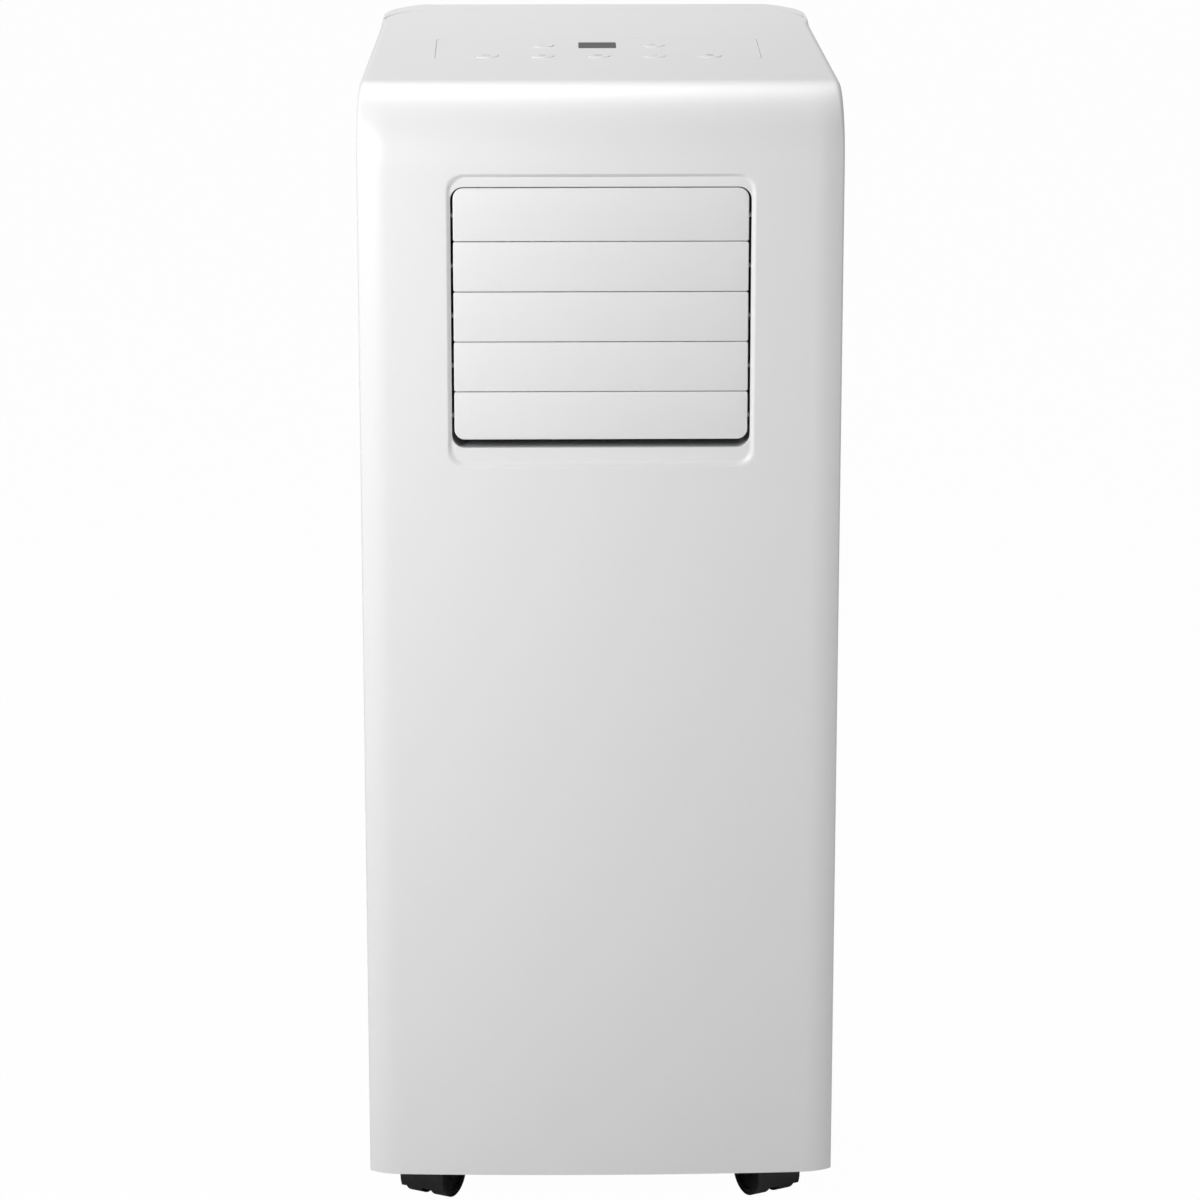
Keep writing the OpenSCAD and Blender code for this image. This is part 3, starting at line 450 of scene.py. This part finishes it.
@dataclass
class FrontCover:
    """Front and top in one moulding, with its crowned face, round top edge and louvre recess."""

    slope: float = math.radians(3.5)
    taper: float = math.radians(1.95)
    nose_r: float = 46 * MM
    crown_r: float = 2207 * MM
    corner_r: float = 30 * MM
    corner_w: float = 17.5 * MM
    edge_r: float = 3.5 * MM
    wall: float = 1.8 * MM
    lid_r: float = 36 * MM
    lid_rear: float = 126 * MM
    lid_drop: float = 12 * MM
    seam_y: float = 10 * MM
    recess_depth: float = 3.6 * MM
    recess_slope: float = 2.6 * MM
    recess_side: float = 2.6 * MM
    recess_below: float = 11.4 * MM
    recess_above: float = 8.2 * MM
    recess_r: float = 11 * MM
    lip_r: float = 0.5 * MM
    ring_steps: int = 6
    ring_below: float = 16 * MM
    nose_gap: float = 0.2 * MM
    panel_size: tuple[float, float] = (193.5 * MM, 67.5 * MM)
    panel_y: float = -9.5 * MM

    half_w: float = 140 * MM
    height: float = 700 * MM
    frame_rim: float = 2.5 * MM
    outlet_r: float = 7.5 * MM

    def __post_init__(self) -> None:
        """Read the depth, the lower edge and the outlet from the frame."""
        _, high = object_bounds()
        cover_low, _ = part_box("front_cover")
        self.half_d = high.y
        self.skirt = cover_low.z
        duct_low, duct_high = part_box("louvre_frame")
        self.outlet_hw = duct_high.x - self.frame_rim
        self.outlet_z = (duct_low.z + self.frame_rim, duct_high.z - self.frame_rim)
        self.nose_y = -self.half_d + self.nose_r
        self.nose_z = self.top_z(self.nose_y) - self.nose_r / math.cos(self.slope)

    def top_z(self, y: float) -> float:
        """Height of the top plane at a depth y."""
        return self.height - math.tan(self.slope) * (self.half_d - y)

    def side_x(self, y: float) -> float:
        """Half width of the casing at a depth y."""
        return self.half_w - (y + self.half_d) * math.tan(self.taper)

    def set_back(self, x: float) -> float:
        """How far the front lies behind its middle at x.

        Args:
            x: distance from the middle.

        Returns:
            The distance back.
        """
        x = abs(x)
        start = self.half_w - self.corner_w
        if x <= start:
            return self.crown_r - math.sqrt(self.crown_r**2 - x**2)
        turn = math.asin(start / self.crown_r)
        centre = (self.crown_r - self.corner_r) * math.sin(turn)
        bend = math.asin(min(0.999, (x - centre) / self.corner_r))
        return self.crown_r - (self.crown_r - self.corner_r) * math.cos(turn) - self.corner_r * math.cos(bend)

    def recess(self, x: float, z: float) -> float:
        """How far a point of the front has sunk into the recess, from 0 outside to 1 on its floor.

        Args:
            x: distance from the middle.
            z: height.

        Returns:
            The share of the full depth.
        """
        half_x = self.outlet_hw + self.recess_side
        z0, z1 = self.outlet_z[0] - self.recess_below, self.outlet_z[1] + self.recess_above
        r = self.recess_r
        mid, half_z = (z0 + z1) / 2, (z1 - z0) / 2
        dx, dz = abs(x) - (half_x - r), abs(z - mid) - (half_z - r)
        out = math.hypot(max(dx, 0), max(dz, 0)) + min(max(dx, dz), 0) - r
        share = min(1.0, max(0.0, -out / self.recess_slope))
        return share * share * (3 - 2 * share)

    def depth(self, x: float, z: float) -> float:
        """Distance of the front behind its foremost plane, recess included."""
        back = self.set_back(x)
        return back + (self.recess_depth - back) * self.recess(x, z)

    def ring_columns(self) -> tuple[list[float], float]:
        """Places across the front that the ring round the outlet shares with the rest.

        Returns:
            The places from the corner's centre to the ring's outside, and half the ring's width.
        """
        centre = self.outlet_hw - self.outlet_r
        outside = centre + (self.nose_z - self.nose_gap - (self.outlet_z[1] - self.outlet_r))
        steps = self.ring_steps
        return [centre + (outside - centre) * i / steps for i in range(steps + 1)], outside

    def ring_rows(self) -> tuple[list[float], list[float]]:
        """Heights that the ring round the outlet shares with the rest, below and above it."""
        steps = self.ring_steps
        low_c, low = self.outlet_z[0] + self.outlet_r, self.outlet_z[0] - self.ring_below
        top_c, top = self.outlet_z[1] - self.outlet_r, self.nose_z - self.nose_gap
        below = [low + (low_c - low) * i / steps for i in range(steps + 1)]
        above = [top_c + (top - top_c) * i / steps for i in range(steps + 1)]
        return below, above

    def columns(self) -> list[float]:
        """Places across the flat of the front, from the middle out, on one side."""
        outer, _ = self.ring_columns()
        inner = [outer[0] * i / 16 for i in range(16)]
        last = self.half_w - self.corner_w
        return inner + outer + [outer[-1] + (last - outer[-1]) * i / 4 for i in range(1, 5)]

    def rows(self) -> list[tuple[str, float]]:
        """Rows of the sheet from the lower edge up and back, as a kind and a height, angle or depth.

        Returns:
            The rows.
        """
        below, above = self.ring_rows()
        rise = [self.skirt + (below[0] - self.skirt) * i / 14 for i in range(14)]
        middle = [below[-1] + (above[0] - below[-1]) * i / 14 for i in range(1, 14)]
        front = [("front", z) for z in rise + below + middle + above]
        quarter = math.pi / 2 - self.slope
        nose = [("nose", quarter * i / 26) for i in range(27)]
        start, straight = self.nose_y, self.lid_rear - self.lid_r
        top = [("top", start + (self.seam_y - start) * i / 8) for i in range(1, 9)]
        top += [("top", self.seam_y + (straight - self.seam_y) * i / 6) for i in range(1, 7)]
        top += [("top", straight + self.lid_r * math.sin(math.pi / 2 * i / 14)) for i in range(1, 15)]
        return front + nose + top

    def base(self, kind: str, value: float) -> tuple[Vector, Vector, float]:
        """Where a row lies, its outward direction and how much of the set-back it keeps.

        Args:
            kind: front, nose or top.
            value: height, angle or depth of the row.

        Returns:
            A point at x = 0, the outward normal and the share of the set-back.
        """
        if kind == "front":
            return Vector((0, -self.half_d, value)), Vector((0, -1, 0)), 1.0
        if kind == "nose":
            normal = Vector((0, -math.cos(value), math.sin(value)))
            point = Vector((0, self.nose_y, self.nose_z)) + normal * self.nose_r
            share = 1 - value / (math.pi / 2 - self.slope)
            return point, normal, share * share * (3 - 2 * share)
        normal = Vector((0, -math.sin(self.slope), math.cos(self.slope)))
        return Vector((0, value, self.top_z(value))), normal, 0.0

    def row_points(self, kind: str, value: float) -> list[Vector]:
        """Points of a row, from the middle out on the right.

        Args:
            kind: front, nose or top.
            value: height, angle or depth of the row.

        Returns:
            The points.
        """
        point, normal, share = self.base(kind, value)
        straight = self.lid_rear - self.lid_r
        edge = self.edge_r
        if kind == "top" and value > straight:
            sweep = math.sqrt(max(0.0, self.lid_r**2 - (value - straight)**2))
            reach = self.side_x(self.lid_rear) - self.lid_r + sweep
            edge = 0.5 * MM
        else:
            reach = self.side_x(point.y + 8 * MM * share)
            if kind == "top" and value > straight - 8 * MM:
                edge = self.edge_r + (0.5 * MM - self.edge_r) * (value - straight + 8 * MM) / (8 * MM)
        steep = 0.6 * share
        end = reach - edge * (1 - math.sin(steep))
        flat = self.columns()
        last = flat[-1]
        squeeze = min(1.0, (end - 2 * MM) / last)
        places = [x * squeeze for x in flat]
        first = places[-1]
        places += [first + (end - first) * i / 7 for i in range(1, 8)]
        points = []
        for x in places:
            back = self.set_back(x) * share
            if kind == "front":
                back = self.depth(x, value)
            points.append(point + Vector((x, 0, 0)) - normal * back)
        back = self.set_back(end) * share
        for i in range(1, 6):
            bend = steep + (math.pi / 2 - steep) * i / 5
            x = reach - edge * (1 - math.sin(bend))
            drop = back + edge * (math.cos(steep) - math.cos(bend))
            points.append(point + Vector((x, 0, 0)) - normal * drop)
        return points

    def ring(self) -> tuple[list[Vector], list[tuple[int, ...]]]:
        """The ring between the outlet's round lip and the rectangle that the sheet leaves open.

        Returns:
            Its points and faces.
        """
        below, above = self.ring_rows()
        outer, reach = self.ring_columns()
        flat = self.columns()[:17]
        steps = self.ring_steps
        turn = [math.pi / 2 * i / (2 * steps) for i in range(2 * steps + 1)]
        cx, r = self.outlet_hw - self.outlet_r, self.outlet_r
        z0, z1 = self.outlet_z
        side = self.rows_between(below[-1], above[0])
        inside, outside = [], []
        for z in side:
            inside.append((self.outlet_hw, z))
            outside.append((reach, z))
        for i, a in enumerate(turn):
            inside.append((cx + r * math.cos(a), z1 - r + r * math.sin(a)))
            outside.append((reach, above[i]) if i <= steps else (outer[2 * steps - i], above[steps]))
        for x in reversed(flat[:-1]):
            inside.append((x, z1))
            outside.append((x, above[steps]))
        low_in, low_out = [], []
        for i, a in enumerate(turn):
            low_in.append((cx + r * math.cos(a), z0 + r - r * math.sin(a)))
            low_out.append((reach, below[steps - i]) if i <= steps else (outer[2 * steps - i], below[0]))
        for x in reversed(flat[:-1]):
            low_in.append((x, z0))
            low_out.append((x, below[0]))
        inside = low_in[::-1] + inside
        outside = low_out[::-1] + outside
        rings = 34
        verts, faces = [], []
        for (xi, zi), (xo, zo) in zip(inside, outside):
            away = Vector((xi - (cx if zi > z1 - r or zi < z0 + r else xi - 1), 0,
                           zi - min(max(zi, z0 + r), z1 - r)))
            if zi in (z0, z1) and xi < cx:
                away = Vector((0, 0, 1 if zi == z1 else -1))
            away.normalize()
            column = []
            for depth in (2.4 * MM, self.lip_r):
                column.append(Vector((xi, -self.half_d + self.recess_depth + depth, zi)))
            for i in range(1, 5):
                bend = math.pi / 2 * i / 4
                out = self.lip_r * (1 - math.cos(bend))
                deep = self.lip_r * (1 - math.sin(bend))
                spot = Vector((xi, 0, zi)) + away * out
                column.append(Vector((spot.x, -self.half_d + self.recess_depth + deep, spot.z)))
            start = column[-1]
            for i in range(1, rings + 1):
                x = start.x + (xo - start.x) * i / rings
                z = start.z + (zo - start.z) * i / rings
                column.append(Vector((x, -self.half_d + self.depth(x, z), z)))
            verts.append(column)
        count = len(verts[0])
        points = [p for column in verts for p in column]
        for i in range(len(verts) - 1):
            for j in range(count - 1):
                a = i * count + j
                faces.append((a, a + 1, a + count + 1, a + count))
        return points, faces

    def rows_between(self, low: float, high: float) -> list[float]:
        """Heights of the front's rows strictly between two heights."""
        return [v for kind, v in self.rows() if kind == "front" and low + 1e-6 < v < high - 1e-6]

    def side_wall(self, rows: list[tuple[str, float]], last: list[Vector]) -> list[list[Vector]]:
        """The side's flat: one face ahead of the seam and a band behind it.

        Args:
            rows: the sheet's rows.
            last: the outermost point of each row.

        Returns:
            Faces as lists of points.
        """
        ahead = [p for (kind, v), p in zip(rows, last) if kind != "top" or v <= self.seam_y + 1e-6]
        foot_front = Vector((ahead[0].x, ahead[0].y, self.skirt))
        seam_x = self.side_x(self.seam_y)
        polygon = [foot_front] if (ahead[0] - foot_front).length > 1e-6 else []
        polygon += ahead
        steps = 6
        polygon += [Vector((seam_x, self.seam_y, ahead[-1].z + (self.skirt - ahead[-1].z) * i / steps))
                    for i in range(1, steps + 1)]
        faces = [polygon]
        band = [(v, p) for (kind, v), p in zip(rows, last) if kind == "top" and v >= self.seam_y - 1e-6]
        for (v0, p0), (v1, p1) in zip(band, band[1:]):
            low0 = Vector((p0.x, p0.y, self.top_z(v0) - self.lid_drop))
            low1 = Vector((p1.x, p1.y, self.top_z(v1) - self.lid_drop))
            faces.append([p0, p1, low1, low0])
        return faces

    def build(self) -> bpy.types.Object:
        """Model the moulding.

        Returns:
            The finished piece.
        """
        rows = self.rows()
        below, above = self.ring_rows()
        _, reach = self.ring_columns()
        lines = [self.row_points(kind, value) for kind, value in rows]
        verts, faces = [], []
        width = len(lines[0])
        for line in lines:
            verts.extend(line)
        for i in range(len(lines) - 1):
            inside = rows[i][0] == "front" and below[0] - 1e-6 <= rows[i][1] < above[-1] - 1e-6
            for j in range(width - 1):
                if inside and lines[i][j + 1].x <= reach + 1e-6:
                    continue
                a = i * width + j
                faces.append((a, a + 1, a + width + 1, a + width))
        points, ring_faces = self.ring()
        start = len(verts)
        verts.extend(points)
        faces.extend(tuple(start + k for k in f) for f in ring_faces)
        for polygon in self.side_wall(rows, [line[-1] for line in lines]):
            start = len(verts)
            verts.extend(polygon)
            faces.append(tuple(range(start, start + len(polygon))))
        start = len(verts)
        verts.extend(Vector((-v.x, v.y, v.z)) for v in list(verts))
        faces.extend(tuple(start + k for k in reversed(f)) for f in list(faces))
        cover = mesh_object("front_cover_shell", verts, faces)
        thick = cover.modifiers.new("wall", "SOLIDIFY")
        thick.thickness = self.wall
        thick.offset = -1
        apply_all(cover)
        cut(cover, [self.panel_cutter()])
        smooth(cover, 30)
        flat = cover.modifiers.new("flat", "WEIGHTED_NORMAL")
        flat.keep_sharp = True
        flat.weight = 90
        apply_all(cover)
        return cover

    def panel_cutter(self) -> bpy.types.Object:
        """The block that opens the top for the control panel."""
        w, d = self.panel_size
        z = self.top_z(self.panel_y)
        cutter = box("panel_cutter", (-w / 2, self.panel_y - d / 2, z - 20 * MM),
                     (w / 2, self.panel_y + d / 2, z + 20 * MM))
        bevel_where(cutter, lambda a, b: abs(a.z - b.z) > 30 * MM, 4 * MM, 8)
        return cutter

    def dress(self, cover: bpy.types.Object, finishes: Finishes) -> None:
        """Give the moulding its finish and its place in the frame.

        Args:
            cover: the moulding.
            finishes: the finishes.
        """
        dress(cover, finishes.of(finishes.white))
        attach(cover, "casing")
        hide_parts("front_cover")


@dataclass
class Louvre:
    """Five slats with round outer corners, end ears and pivot pins."""

    count: int = 5
    end_gap: float = 1.5 * MM
    big_r: float = 6 * MM
    small_r: float = 1.2 * MM
    edge: float = 0.45 * MM
    thick: float = 2.4 * MM

    def build(self, index: int) -> bpy.types.Object:
        """Model one slat round its CAD node.

        Args:
            index: the slat's number from the top.

        Returns:
            The slat.
        """
        low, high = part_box(f"louvre_{index}")
        frame_low, frame_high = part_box("louvre_frame")
        half = frame_high.x - 2.5 * MM - self.end_gap
        front = low.y
        plate = box(f"slat_{index}", (-half, front, low.z), (half, front + self.thick, high.z))
        mid = (low.z + high.z) / 2
        upper = self.big_r if index == 1 else self.small_r
        lower = self.big_r if index == self.count else self.small_r

        def crosswise(a: Vector, b: Vector) -> bool:
            return abs(a.y - b.y) > self.thick / 2

        bevel_where(plate, lambda a, b: crosswise(a, b) and a.z > mid, upper, 8)
        bevel_where(plate, lambda a, b: crosswise(a, b) and a.z < mid and abs(a.x) > half - MM, lower, 8)
        bevel_where(plate, lambda a, b: not crosswise(a, b) and max(a.y, b.y) < front + 0.1 * MM, self.edge, 3)
        joint = next(j for j in self.joints if j["name"] == f"louvre_{index}_turn")
        pivot = Vector(joint["pos_m"])
        parts = [plate]
        crank = low.x + 4 * MM
        for side in (-1, 1):
            ear = box("ear", (min(side * half, side * (half - 3 * MM)), front + self.thick, pivot.z - 3 * MM),
                      (max(side * half, side * (half - 3 * MM)), pivot.y, pivot.z + 3 * MM))
            boss = rod("boss", (side * (half - 3 * MM), pivot.y, pivot.z), (side * half, pivot.y, pivot.z),
                       3 * MM)
            end = crank if side < 0 else high.x
            pin = rod("pin", (side * (half - MM), pivot.y, pivot.z), (end, pivot.y, pivot.z), 1.5 * MM)
            parts += [ear, boss, pin]
        arm_y = high.y - 1.2 * MM
        parts.append(rod("hub", (crank, pivot.y, pivot.z), (crank + 2 * MM, pivot.y, pivot.z), 2.6 * MM))
        parts.append(box("arm", (crank, pivot.y, pivot.z - 2 * MM), (crank + 2 * MM, arm_y, pivot.z + 2 * MM)))
        pin_y = arm_y - 1.4 * MM
        parts.append(rod("crank_pin", (low.x, pin_y, pivot.z), (crank + 2 * MM, pin_y, pivot.z), 1.2 * MM))
        slat = join(parts, f"slat_{index}")
        smooth(slat, 35)
        return slat

    def make(self, frame: dict, finishes: Finishes) -> None:
        """Model and dress every slat.

        Args:
            finishes: the finishes.
        """
        self.joints = frame["joints"]
        for index in range(1, self.count + 1):
            slat = self.build(index)
            dress(slat, finishes.of(finishes.white))
            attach(slat, f"louvre_{index}")
            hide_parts(f"louvre_{index}")


class Icon(Enum):
    """The plain sign on each button."""

    PLUS = "button_plus"
    MINUS = "button_minus"
    POWER = "button_1"
    TIMER = "button_2"
    MODE = "button_3"
    SPEED = "button_4"
    SLEEP = "button_5"


@dataclass
class ButtonSigns:
    """Pale printed signs on the seven buttons."""

    slope: float = math.radians(3.5)
    line: float = 0.55 * MM
    reach: float = 2.2 * MM
    print_t: float = 0.04 * MM
    proud: float = 0.3 * MM

    def bar(self, x: float, y: float, w: float, d: float) -> bpy.types.Object:
        """Add one printed bar.

        Args:
            x: its middle across.
            y: its middle in depth.
            w: its width.
            d: its depth.

        Returns:
            The bar.
        """
        return box("bar", (x - w / 2, y - d / 2, 0), (x + w / 2, y + d / 2, self.print_t))

    def ring(self, radius: float) -> bpy.types.Object:
        """Add a printed ring.

        Args:
            radius: its outer radius.

        Returns:
            The ring.
        """
        outer = rod("ring", (0, 0, 0), (0, 0, self.print_t), radius, 40)
        cut(outer, [rod("inner", (0, 0, -MM), (0, 0, MM), radius - self.line, 40)])
        return outer

    def sign(self, icon: Icon) -> bpy.types.Object:
        """Model a sign flat at the origin.

        Args:
            icon: which sign.

        Returns:
            The sign.
        """
        r, t = self.reach, self.line
        if icon is Icon.PLUS:
            parts = [self.bar(0, 0, 2 * r, t), self.bar(0, (r + t / 2) / 2, t, r - t / 2),
                     self.bar(0, -(r + t / 2) / 2, t, r - t / 2)]
        elif icon is Icon.MINUS:
            parts = [self.bar(0, 0, 2 * r, t)]
        elif icon is Icon.POWER:
            parts = [self.ring(r), self.bar(0, r + t, t, r * 0.7)]
        elif icon is Icon.TIMER:
            parts = [self.ring(r), self.bar(0, 0, t, r), self.bar(r * 2, 0, r, t)]
        elif icon is Icon.MODE:
            parts = [self.bar(0, k * 1.4 * MM, 2 * r, t) for k in (-1, 0, 1)]
        elif icon is Icon.SPEED:
            parts = [self.bar(k * 1.5 * MM, 0, t, (k + 2) * MM) for k in (-1, 0, 1)]
        else:
            parts = [self.ring(r), self.ring(r * 0.5)]
        return join(parts, f"sign_{icon.value}")

    def make(self, cover: FrontCover, finishes: Finishes) -> None:
        """Model, place and dress every sign.

        Args:
            cover: the front cover, whose top plane the buttons lie in.
            finishes: the finishes.
        """
        for icon in Icon:
            low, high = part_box(icon.value)
            sign = self.sign(icon)
            middle = (low + high) / 2
            normal = Vector((0, -math.sin(self.slope), math.cos(self.slope)))
            sign.rotation_euler = (self.slope, 0, 0)
            sign.location = Vector((middle.x, middle.y, cover.top_z(middle.y))) + normal * (
                self.proud + self.print_t / 2)
            settle(sign)
            dress(sign, finishes.of(finishes.mark))
            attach(sign, icon.value)


@dataclass
class Castors:
    """The four castors: their CAD solids with every hard edge rounded."""

    corners: tuple[str, ...] = ("fl", "fr", "rl", "rr")
    hood_edge: float = 0.9 * MM
    wheel_edge: float = 1.6 * MM

    def make(self, frame: dict, finishes: Finishes) -> None:
        """Round and dress the housings and wheels.

        Args:
            finishes: the finishes.
        """
        for corner in self.corners:
            for kind, width in (("housing", self.hood_edge), ("wheel", self.wheel_edge)):
                node = frame["nodes"][f"castor_{kind}_{corner}"]
                dress(node, finishes.of(finishes.black))
                edge = node.modifiers.new("edge", "BEVEL")
                edge.width = width
                edge.segments = 4
                edge.limit_method = "ANGLE"
                edge.angle_limit = math.radians(40)


@dataclass
class Studio:
    """Pale floor and backdrop, soft lamps and the camera."""

    lens: float = 128.5
    camera_at: tuple[float, float, float] = (-0.038, -2.574, 1.002)
    pitch: float = 14.264
    yaw: float = 0.883
    key: float = 14.0
    fill: float = 7.0
    top: float = 10.5
    world: float = 0.15

    def camera(self) -> None:
        """Add the camera and make it the scene's."""
        data = bpy.data.cameras.new("camera")
        data.lens = self.lens
        data.sensor_width = 36
        data.clip_start, data.clip_end = 0.05, 50
        cam = bpy.data.objects.new("camera", data)
        cam.location = self.camera_at
        cam.rotation_euler = (math.radians(90 - self.pitch), 0, math.radians(-self.yaw))
        bpy.context.scene.collection.objects.link(cam)
        bpy.context.scene.camera = cam

    def lamp(self, name: str, place: tuple[float, float, float], size: float, power: float) -> None:
        """Add a soft lamp that looks at the object.

        Args:
            name: its name.
            place: where it stands.
            size: width of its square.
            power: its power in watts.
        """
        data = bpy.data.lights.new(name, "AREA")
        data.shape = "SQUARE"
        data.size = size
        data.energy = power
        obj = bpy.data.objects.new(name, data)
        obj.location = place
        aim = Vector((0, 0, 0.36)) - Vector(place)
        obj.rotation_euler = aim.to_track_quat("-Z", "Y").to_euler()
        bpy.context.scene.collection.objects.link(obj)

    def background(self) -> None:
        """Add the floor, and a world that looks white and lights softly."""
        world = bpy.data.worlds.new("studio")
        bpy.context.scene.world = world
        world.use_nodes = True
        nodes, links = world.node_tree.nodes, world.node_tree.links
        back = nodes["Background"]
        back.inputs["Color"].default_value = (1, 1, 1, 1)
        path = nodes.new("ShaderNodeLightPath")
        seen = self.seen(nodes, links, path)
        power = nodes.new("ShaderNodeMapRange")
        power.inputs["To Min"].default_value = self.world
        power.inputs["To Max"].default_value = 1.0
        links.new(seen, power.inputs["Value"])
        links.new(power.outputs["Result"], back.inputs["Strength"])
        deselect()
        bpy.ops.mesh.primitive_plane_add(size=14, location=(0, 0, 0))
        floor = bpy.context.object
        floor.name = "floor"
        mat = bpy.data.materials.new("floor")
        mat.use_nodes = True
        nodes, links = mat.node_tree.nodes, mat.node_tree.links
        shader = nodes["Principled BSDF"]
        shader.inputs["Base Color"].default_value = (0.55, 0.55, 0.55, 1)
        shader.inputs["Roughness"].default_value = 0.9
        glow = nodes.new("ShaderNodeEmission")
        path = nodes.new("ShaderNodeLightPath")
        mix = nodes.new("ShaderNodeMixShader")
        share = nodes.new("ShaderNodeMath")
        share.operation = "MULTIPLY"
        share.inputs[1].default_value = 0.985
        links.new(self.seen(nodes, links, path), share.inputs[0])
        links.new(share.outputs["Value"], mix.inputs["Fac"])
        links.new(shader.outputs["BSDF"], mix.inputs[1])
        links.new(glow.outputs["Emission"], mix.inputs[2])
        links.new(mix.outputs["Shader"], nodes["Material Output"].inputs["Surface"])
        floor.data.materials.append(mat)
        floor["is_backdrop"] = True

    @staticmethod
    def seen(nodes: bpy.types.Nodes, links: bpy.types.NodeLinks,
             path: bpy.types.Node) -> bpy.types.NodeSocket:
        """Whether a ray comes from the camera, or through or off something shiny.

        Args:
            nodes: the nodes to add to.
            links: the links to add to.
            path: a Light Path node.

        Returns:
            A socket that is 1 for such a ray.
        """
        both = nodes.new("ShaderNodeMath")
        both.operation = "MAXIMUM"
        links.new(path.outputs["Is Camera Ray"], both.inputs[0])
        links.new(path.outputs["Is Transmission Ray"], both.inputs[1])
        return both.outputs["Value"]

    def build(self) -> None:
        """Set the stage."""
        self.camera()
        self.background()
        self.lamp("key", (-0.8, -0.95, 0.9), 0.6, self.key)
        self.lamp("fill", (1.5, -0.6, 0.6), 0.8, self.fill)
        self.lamp("top", (-0.1, 0.45, 1.7), 0.7, self.top)
        bpy.context.scene.view_settings.view_transform = "Standard"


def main() -> None:
    """Build the pieces in order."""
    logging.basicConfig(level=logging.INFO, format="%(message)s")
    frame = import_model()
    Studio().build()
    finishes = Finishes()
    finishes.dress_frame(frame)
    front = FrontCover()
    front.dress(front.build(), finishes)
    LOG.info("front cover built")
    Louvre().make(frame, finishes)
    LOG.info("louvre built")
    ButtonSigns().make(front, finishes)
    LOG.info("button signs built")
    Castors().make(frame, finishes)
    LOG.info("castors dressed")


if __name__ == "__main__":
    main()
